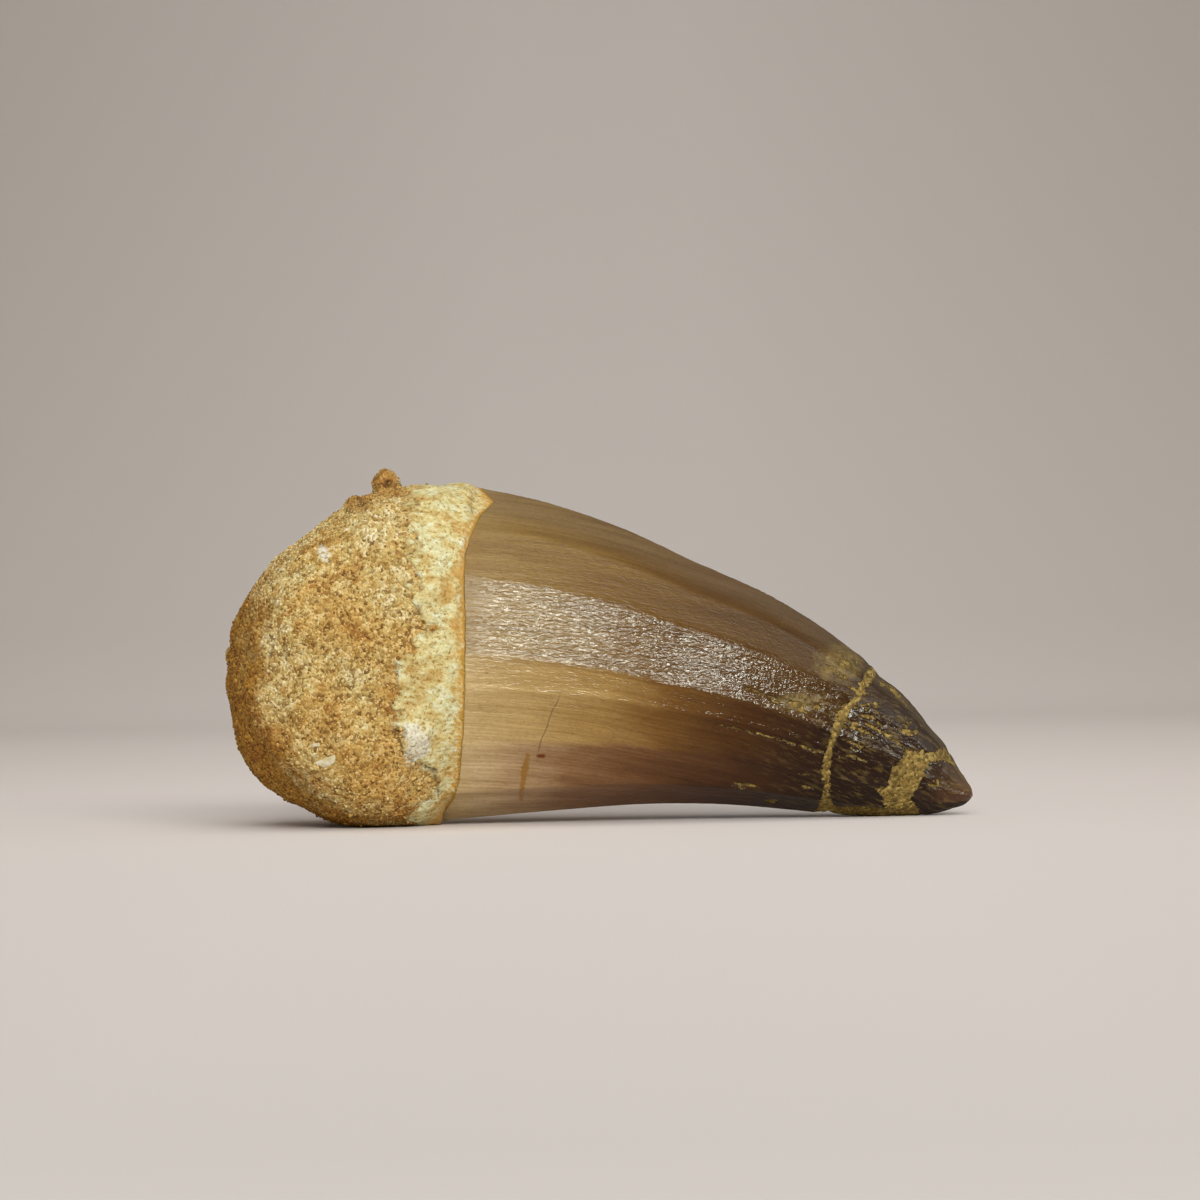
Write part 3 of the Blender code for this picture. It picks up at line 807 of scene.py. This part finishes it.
sleeve_bm, column, row = rolled_grid(SLEEVE_COLUMNS, SLEEVE_ROWS)
sleeve_mm = np.linspace(-INTO_LUMP, SLEEVE_REACH, SLEEVE_ROWS + 1)[row]
station = station_of(sleeve_mm)
places = crown_surface(column / SLEEVE_COLUMNS, station)
middle = (along(CROWN_UPPER, station) + along(CROWN_LOWER, station)) / 2
outward = places - np.stack([middle[:, 0], 0 * station, middle[:, 1]], -1)
outward /= np.linalg.norm(outward, axis=1)[:, None]
ragged = 0.22 * noise_at(places, 0.9, 4.0) + 0.10 * noise_at(places, 0.4, 8.0)
on_bone = eased((root_bone(places, sleeve_mm) + ragged) / SLEEVE_EDGE + 0.5)
places += outward * (on_bone * (SLEEVE_PROUD + SLEEVE_DIVE) - SLEEVE_DIVE)[:, None]
for vert, place in zip(sleeve_bm.verts, (places * MM).tolist()):
    vert.co = place
close_roll(sleeve_bm)

source = bmesh.new()
source.from_mesh(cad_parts["matrix"].data)
bmesh.ops.remove_doubles(source, verts=source.verts, dist=1e-6)
source.from_mesh(smooth_mesh(sleeve_bm, "bone_sleeve"))
lump = add_object("sandstone_lump", smooth_mesh(source, "lump_copy"))
remesh = lump.modifiers.new("even_cells", "REMESH")
remesh.mode = "VOXEL"
remesh.voxel_size = LUMP_VOXEL * MM


def settle(thing):
    """Applies what the modifiers make, as the object's own mesh."""
    made = bpy.data.meshes.new_from_object(thing.evaluated_get(bpy.context.evaluated_depsgraph_get()))
    thing.modifiers.clear()
    thing.data = made
    return made


def before_crown(places):
    """How far places lie before the crown's first section, in mm, measured square to it."""
    (top_x, top_z), (foot_x, foot_z) = CROWN_UPPER[0], CROWN_LOWER[0]
    to_crown = np.array([top_z - foot_z, 0.0, foot_x - top_x]) / math.hypot(top_x - foot_x, top_z - foot_z)
    return (np.array([top_x, 0.0, top_z]) - places) @ to_crown


lump_mesh = settle(lump)
lump_bm = bmesh.new()
lump_bm.from_mesh(lump_mesh)
from_crown = before_crown(np.array([v.co for v in lump_bm.verts]) / MM)
near_rim = [v for v, away in zip(lump_bm.verts, from_crown.tolist()) if -0.5 < away < 1.3]
for rounds, verts in ((SMOOTHING_ROUNDS, lump_bm.verts), (RIM_ROUNDS, near_rim)):
    for _ in range(rounds):
        bmesh.ops.smooth_vert(
            lump_bm, verts=verts, factor=0.5, use_axis_x=True, use_axis_y=True, use_axis_z=True
        )
lump_bm.to_mesh(lump_mesh)
lump_bm.free()
lump_mesh.shade_smooth()
lump_mesh.name = "sandstone_lump"
print("lump:", len(lump_mesh.polygons), "cells of four sides")

# %% [markdown]
# Beside the crown the lump is not sand but the root: pale, porous bone that stands a little proud of the rock
# where the sand has been brushed away. How wide it shows is read from a line of pixels on the side that is
# shown, and wanders freely round the rest. Pits, cracks and two places of broken, whiter bone follow. Beyond
# a ledge on the shown side the sand is painted darker and more orange, as painted shade on the side that
# turns away. Rusty knots add iron, the hidden side varies at random, and the top stays clean.

# %% Lump: bone, pits and grain
BONE_EDGE = (
    (396, 465), (400, 482), (412, 506), (408, 530), (418, 548), (414, 560), (411, 583), (417, 603),
    (427, 621), (438, 630), (414, 640), (406, 659), (399, 685), (397, 710), (400, 731), (404, 751),
    (422, 769), (437, 782), (432, 792), (417, 807), (412, 825),
)
BONE_WIDTH_ELSEWHERE, BONE_WANDER = 4.8, 3.0
BONE_RAGGED = ((1.7, 1.3, 2.0), (0.75, 0.9, 6.0))
PITS = (
    ((396, 731), 3.5, 0.45), ((391, 748), 2.6, 0.25), ((435, 771), 3.5, 0.30), ((336, 650), 2.2, 0.25),
    ((388, 484), 4.5, 0.50), ((361, 503), 5.0, 0.35), ((346, 512), 3.0, 0.25),
)
DARK_CRACKS = (
    (
        ((396, 733), 1.4), ((404, 752), 0.9), ((414, 763), 0.6), ((432, 769), 1.5), ((437, 783), 0.9),
        ((438, 798), 0.5),
    ),
    (((271, 633), 0.8), ((273, 646), 1.4), ((270, 657), 0.8)),
)
CRACK_SUNK, BROKEN_PROUD = 0.25, 0.10
BROKEN_BONE = (
    (((411, 732), 10.0), ((421, 742), 10.5), ((412, 758), 9.0)),
    (((321, 549), 5.5), ((327, 559), 4.5)),
)
LEDGE_CENTRE, LEDGE_RADII, LEDGE_WANDER = (402, 648), (138, 162), 0.10
CLEAN_TOP_MM, CLEAN_OVER_MM = 27.0, 8.0
RUSTY_KNOTS = (((387, 482), (26, 24)), ((360, 502), (24, 14)))
BRUSHED_CLEAN = (((327, 762), (18, 10)), ((324, 554), (12, 13)), ((316, 745), (9, 6)))
PROUD_BONE = 0.10
LUMP_SWELLS = ((2.6, 0.14), (1.1, 0.10))
GRAIN_SIZE, GRAIN_HEIGHT = 0.42, 0.08

places, normals = read_points(lump_mesh)
spots, shown = as_seen(places), share_shown(places)
on_front = places[:, 1] < 0
from_crown = before_crown(places)
margin = root_bone(places, -from_crown)
wander = noise_at(places, 4.0, 9.0)
bone_shown = spots[:, 0] - line_at(spots, BONE_EDGE)
bone_elsewhere = BONE_WIDTH_ELSEWHERE - from_crown + BONE_WANDER * wander
bone = bone_shown * shown + bone_elsewhere * (1 - shown)
bone += sum(depth * noise_at(places, size, seed) for size, depth, seed in BONE_RAGGED)
broken = np.max([stroke_depth(spots, place) for place in BROKEN_BONE], axis=0)
broken = np.where(on_front, broken + 0.30 * noise_at(places, 0.9, 1.0), FAR_OUTSIDE)
# Beyond the ledge on the shown side the sand gets painted shade, darker and more orange; rusty knots are
# iron.
from_ledge = np.linalg.norm((spots - seen_at(*LEDGE_CENTRE)) / (np.array(LEDGE_RADII) * PIXEL_MM), axis=1)
from_ledge += LEDGE_WANDER * (wander + noise_at(places, 1.3, 5.0) + 0.7 * noise_at(places, 0.6, 7.0))
flank = np.where(on_front, eased((from_ledge - 0.93) / 0.26), 0.5 + 0.6 * wander)
flank *= eased((CLEAN_TOP_MM - places[:, 2]) / CLEAN_OVER_MM)
flank = np.maximum(flank, 0.7 * eased(2 * nearness(spots, RUSTY_KNOTS)))

is_bone = eased((bone + 0.3) / 0.6)
calm = eased((from_crown + 0.2) / 1.2)
relief = sum(high * noise_at(places, wide, wide) for wide, high in LUMP_SWELLS) * calm
cell = np.array([noise.voronoi(p)[0][0] for p in (places / GRAIN_SIZE).tolist()])
relief += (1 - is_bone) * GRAIN_HEIGHT * (0.5 - cell) * calm
fibre = 0.05 * noise_at(places, (1.1, 0.5, 0.5), 8.0) + 0.07 * noise_at(places, 0.5, 3.0)
relief += is_bone * (PROUD_BONE * calm + fibre)
relief += eased(broken / 0.5) * (BROKEN_PROUD + 0.14 * noise_at(places, 0.55, 12.0))
dark = np.full(len(places), FAR_OUTSIDE)
for centre, radius, depth in PITS:
    reach = np.linalg.norm(spots - seen_at(*centre), axis=1) / (radius * PIXEL_MM)
    relief -= np.where(on_front, depth * (1 - eased(reach / 1.3)), 0)
    dark = np.maximum(dark, radius * PIXEL_MM * (1 - reach))
for crack in DARK_CRACKS:
    inside = stroke_depth(spots, crack) + 0.08 * noise_at(places, 0.3) + 0.10 * noise_at(places, 0.8, 5.0)
    relief -= np.where(on_front, CRACK_SUNK * eased(inside / 0.12), 0)
    dark = np.maximum(dark, inside)
places += normals * relief[:, None]
places[:, 2] = np.maximum(places[:, 2], 0.0)
set_points(lump_mesh, places)
sandy = (1 - is_bone) * eased((from_crown - 0.5) / 0.5) * (places[:, 2] > 0.25)
sandy *= np.where(on_front, 1 - eased(3 * nearness(spots, BRUSHED_CLEAN)), 1)
keep(
    lump_mesh, bone=bone, broken=broken, dark=np.where(on_front, dark, FAR_OUTSIDE),
    margin=margin, flank=flank, grainy=sandy,
)

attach(lump, "root")
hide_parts("matrix")
print(f"lump relief: {relief.min():.2f} to {relief.max():.2f} mm; bone on {is_bone.mean():.0%}")

# %% [markdown]
# The finish of the lump. Sand colours come grain by grain from a Voronoi pattern of the real grain size, and
# slower noises move the whole between straw and rust, as iron does in such a bed. Bone replaces sand by the
# depth that was kept above, through a coarse and a fine noise, so that one fades into the other in blotches.

# %% Finish: cemented phosphate sand
SAND_GRAIN_MM, MOTTLE_MM, SLOW_MM = 0.30, 1.176, 6.25
FIBRE_MM, PORE_MM, SOAKED_MM, COARSE_EDGE_MM = (0.8, 0.4, 0.4), 0.294, 2.0, 0.714
SAND_BUMP_MM = 0.16


def sand_colour(put, solid_mm, grain_tone):
    """The sand's colour from a random tone per grain, tinted by slow changes in the rock, iron and painted
    shade.
    """
    colour = put("ValToRGB", {0: grain_tone}, stops=(
        (0.0, "7c6236"), (0.15, "a48e5c"), (0.40, "c2b07c"), (0.70, "d4c89c"), (1.0, "eae4cc"),
    ))
    mottle = put("TexNoise", {"Vector": solid_mm, "Scale": 1 / MOTTLE_MM, "Detail": 5.0, "Roughness": 0.7})
    mottle_tint = put("ValToRGB", {0: mottle}, stops=((0.34, "d8b072"), (0.48, "f4e6c0"), (0.60, "ffffff")))
    colour = put("Mix", {0: 0.85, 6: colour, 7: mottle_tint}, data_type="RGBA", blend_type="MULTIPLY")
    slow = put("TexNoise", {"Vector": solid_mm, "Scale": 1 / SLOW_MM, "Detail": 3.0})
    slow_tint = put("ValToRGB", {0: slow}, stops=((0.36, "eccc88"), (0.50, "f8ecc8"), (0.62, "fdf8ea")))
    colour = put("Mix", {0: 0.8, 6: colour, 7: slow_tint}, data_type="RGBA", blend_type="MULTIPLY")
    # Painted shade on the side beyond the ledge, together with iron: darker and more orange.
    flank = put("Attribute", attribute_name="flank").outputs["Fac"]
    flank_tint = put("Mix", {0: flank, 6: linear("ffffff"), 7: linear("ceac62")}, data_type="RGBA")
    return put("Mix", {0: 1.0, 6: colour, 7: flank_tint}, data_type="RGBA", blend_type="MULTIPLY")


sandstone, shader, put = start_material("cemented_phosphate_sand")
solid_mm = solid_place(put)
bone_mm, broken_mm, dark_mm, margin_mm = (
    put("Attribute", attribute_name=name).outputs["Fac"] for name in ("bone", "broken", "dark", "margin")
)
grains = put("TexVoronoi", {"Vector": solid_mm, "Scale": 1 / SAND_GRAIN_MM})
grain_tone = put("SeparateColor", {0: grains.outputs["Color"]})
colour = sand_colour(put, solid_mm, grain_tone)

# Bone: cream, with ochre where iron has soaked into its pores.
fibres = drawn_out(put, solid_mm, FIBRE_MM, Detail=4.0, Roughness=0.7)
bone_colour = put("ValToRGB", {0: fibres}, stops=(
    (0.34, "a8945e"), (0.43, "c4bc8c"), (0.55, "d2d1aa"), (0.70, "e0e2ce"),
))
pores = put("TexNoise", {"Vector": solid_mm, "Scale": 1 / PORE_MM, "Detail": 2.0, "Roughness": 0.6})
pore_shade = put("ValToRGB", {0: pores}, stops=((0.32, "b08e54"), (0.42, "f6eed8"), (0.55, "ffffff")))
bone_colour = put("Mix", {0: 0.85, 6: bone_colour, 7: pore_shade}, data_type="RGBA", blend_type="MULTIPLY")
soaked = put("TexNoise", {"Vector": solid_mm, "Scale": 1 / SOAKED_MM, "Detail": 4.0, "Roughness": 0.65})
soaked_tint = put("ValToRGB", {0: soaked}, stops=((0.38, "e6bd74"), (0.50, "fff2d2"), (0.60, "ffffff")))
bone_colour = put("Mix", {0: 0.8, 6: bone_colour, 7: soaked_tint}, data_type="RGBA", blend_type="MULTIPLY")
coarse_edge = put("TexNoise", {
    "Vector": solid_mm, "Scale": 1 / COARSE_EDGE_MM, "Detail": 4.0, "Roughness": 0.75,
})
ragged_bone = put("Math", {0: coarse_edge, 1: 2.0, 2: bone_mm}, operation="MULTIPLY_ADD")
in_bone = put("MapRange", {"Value": ragged_bone, "From Min": 0.7, "From Max": 1.3})
colour = put("Mix", {0: in_bone, 6: colour, 7: bone_colour}, data_type="RGBA")
ragged_broken = put("Math", {0: fibres, 1: 0.9, 2: broken_mm}, operation="MULTIPLY_ADD")
in_broken = put("MapRange", {"Value": ragged_broken, "From Min": 0.40, "From Max": 0.70, "To Max": 0.85})
chalky = put("ValToRGB", {0: pores}, stops=((0.34, "a48e62"), (0.44, "cfcab0"), (0.60, "dedccb")))
colour = put("Mix", {0: in_broken, 6: colour, 7: chalky}, data_type="RGBA")

# Iron has collected in a line where bone meets enamel. Cracks and pits are coloured dark brown.
line_noise = put("Math", {0: soaked, 1: 7.0, 2: margin_mm}, operation="MULTIPLY_ADD")
stain_zone = put("MapRange", {"Value": line_noise, "From Min": 4.7, "From Max": 3.6, "To Max": 0.5})
edge_noise = put("Math", {0: pores, 1: 2.2, 2: margin_mm}, operation="MULTIPLY_ADD")
stain_edge = put("MapRange", {"Value": edge_noise, "From Min": 2.0, "From Max": 1.2, "To Max": 0.85})
stain = put("Math", {0: stain_zone, 1: stain_edge}, operation="MAXIMUM")
colour = put("Mix", {0: stain, 6: colour, 7: linear("ba8834")}, data_type="RGBA")
in_dark = put("MapRange", {"Value": dark_mm, "From Min": -0.06, "From Max": 0.10, "To Max": 0.65})
colour = put("Mix", {0: in_dark, 6: colour, 7: linear("54371a")}, data_type="RGBA")

grain_bump = put("Math", {0: grains, 1: -1.0}, operation="MULTIPLY")
surface_height = put("Mix", {0: in_bone, 2: grain_bump, 3: pores}, data_type="FLOAT")
bump = put("Bump", {"Height": surface_height, "Strength": 1.0, "Distance": SAND_BUMP_MM * MM})
wire(shader, {"Base Color": colour, "Normal": bump, "Roughness": 0.85, "Specular IOR Level": 0.25})
lump_mesh.materials.append(sandstone)
print("sandstone:", len(sandstone.node_tree.nodes), "nodes")

# %% [markdown]
# Loose grains. From close by, such rock is not a rough skin but single grains, some standing half out of it.
# Geometry Nodes scatter them: points no closer than a grain apart, each with a small stone of twenty faces or
# eighty, turned and sized at random. The instances are realized and applied, so what is kept is a plain mesh,
# and each stone carries a random number that picks its colour. More points are asked for than there is room
# for, so the spacing alone says how many there are.

# %% Loose grains
POINTS_PER_SQUARE_METRE = 4e7
LEAST_STRETCH, MOST_STRETCH = (0.55, 0.5, 0.5), (1.35, 1.1, 1.0)

grain_finish, shader, put = start_material("loose_phosphate_grains")
shade = put("Attribute", attribute_name="shade").outputs["Fac"]
solid_mm = solid_place(put)
grain_colour = sand_colour(put, solid_mm, shade)
wire(shader, {"Base Color": grain_colour, "Roughness": 0.75, "Specular IOR Level": 0.2})


def scatter_grains(name, ground, finish, spacing, radius, roundness, seed):
    """A mesh of small stones, half sunk in the ground wherever its attribute grainy says sand."""
    tree = bpy.data.node_groups.new(name, "GeometryNodeTree")
    tree.is_modifier = True
    for direction in ("INPUT", "OUTPUT"):
        tree.interface.new_socket("Geometry", in_out=direction, socket_type="NodeSocketGeometry")
    put = functools.partial(add_node, tree)
    grainy = put("GeometryNodeInputNamedAttribute", {"Name": "grainy"}, data_type="FLOAT")
    points = put("GeometryNodeDistributePointsOnFaces", {
        "Mesh": put("NodeGroupInput"), "Distance Min": spacing * MM, "Density Max": POINTS_PER_SQUARE_METRE,
        "Density Factor": grainy, "Seed": seed,
    }, distribute_method="POISSON")
    stone = put("GeometryNodeMeshIcoSphere", {"Radius": radius * MM, "Subdivisions": roundness})
    any_turn, any_size = (
        put("FunctionNodeRandomValue", {0: least, 1: most, "Seed": seed + later}, data_type="FLOAT_VECTOR")
        for least, most, later in (((0, 0, 0), (math.tau,) * 3, 1), (LEAST_STRETCH, MOST_STRETCH, 2))
    )
    any_shade = put("FunctionNodeRandomValue", {2: 0.0, 3: 1.0, "Seed": seed + 3}, data_type="FLOAT")
    stones = put("GeometryNodeInstanceOnPoints", {
        "Points": points.outputs["Points"], "Instance": stone, "Rotation": any_turn, "Scale": any_size,
    })
    shaded = put("GeometryNodeStoreNamedAttribute", {
        "Geometry": stones, "Name": "shade", "Value": any_shade,
    }, data_type="FLOAT", domain="INSTANCE")
    real = put("GeometryNodeRealizeInstances", {"Geometry": shaded})
    put("NodeGroupOutput", {"Geometry": real})
    thing = add_object(name, ground.copy())
    thing.modifiers.new(name, "NODES").node_group = tree
    mesh = settle(thing)
    places, _ = read_points(mesh)
    places[:, 2] = np.maximum(places[:, 2], 0.0)
    set_points(mesh, places)
    mesh.name = name
    mesh.materials.clear()
    mesh.materials.append(finish)
    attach(thing, "root")
    print(name + ":", len(mesh.polygons), "faces")


for name, spacing, radius, roundness, seed in (
    ("sand_grains", 0.33, 0.125, 1, 4),
    ("fine_sand_grains", 0.33, 0.10, 1, 27),
    ("coarse_sand_grains", 1.3, 0.20, 2, 11),
):
    scatter_grains(name, lump_mesh, grain_finish, spacing, radius, roundness, seed)

# %% [markdown]
# Chips of fossil bone lie in the sand, pale and sharp-edged. Each is a block with bevelled edges, let into
# the lump where the ray through its pixel strikes, and turned to lie flat there at the tilt that is seen.

# %% Chips of bone
CHIPS = (((327, 762), 28.0, 2.0, 0.8), ((316, 745), 15.0, 0.8, 0.35))
CHIP_THICKNESS, CHIP_SUNK, CHIP_BEVEL = 0.7, 0.20, 0.12
DENT_SIZE, DENT_DEPTH, GRIME_MM = 0.5, 0.07, 0.556

chips_bm = bmesh.new()
bpy.context.view_layer.update()
for pixel, tilt, length, width in CHIPS:
    x, z = seen_at(*pixel)
    found, place, normal, _ = lump.ray_cast(CAMERA_PLACE * MM, Vector((x, 0.0, z)) - CAMERA_PLACE)
    lengthwise = Vector((math.cos(math.radians(tilt)), 0.0, math.sin(math.radians(tilt))))
    across = normal.cross(lengthwise).normalized()
    lengthwise = across.cross(normal).normalized()
    axes = Matrix((lengthwise, across, normal)).transposed().to_4x4()
    size = Matrix.Diagonal((length * MM, width * MM, CHIP_THICKNESS * MM, 1.0))
    centre = Matrix.Translation(place - normal * CHIP_SUNK * MM)
    block = bmesh.ops.create_cube(chips_bm, size=1.0, matrix=centre @ axes @ size)["verts"]
    edges = list({edge for vert in block for edge in vert.link_edges})
    bmesh.ops.bevel(
        chips_bm, geom=edges, offset=CHIP_BEVEL * MM, segments=2, profile=0.5, affect="EDGES", material=-1
    )
    print("chip at", pixel, "found ground:", found)
bmesh.ops.subdivide_edges(chips_bm, edges=chips_bm.edges, cuts=2, use_grid_fill=True)
for vert in chips_bm.verts:
    vert.co += Vector(noise.noise_vector(vert.co / (DENT_SIZE * MM))) * DENT_DEPTH * MM
chips_mesh = smooth_mesh(chips_bm, "bone_chips")
chips = add_object("bone_chips", chips_mesh)

chip_finish, shader, put = start_material("worn_bone_chip")
solid_mm = solid_place(put)
grime = put("TexNoise", {"Vector": solid_mm, "Scale": 1 / GRIME_MM, "Detail": 4.0, "Roughness": 0.7})
chip_colour = put("ValToRGB", {0: grime}, stops=((0.38, "bda876"), (0.50, "d2caa8"), (0.65, "dedac6")))
bump = put("Bump", {"Height": grime, "Strength": 1.0, "Distance": 0.05 * MM})
wire(shader, {"Base Color": chip_colour, "Normal": bump, "Roughness": 0.6, "Specular IOR Level": 0.3})
chips_mesh.materials.append(chip_finish)
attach(chips, "root")
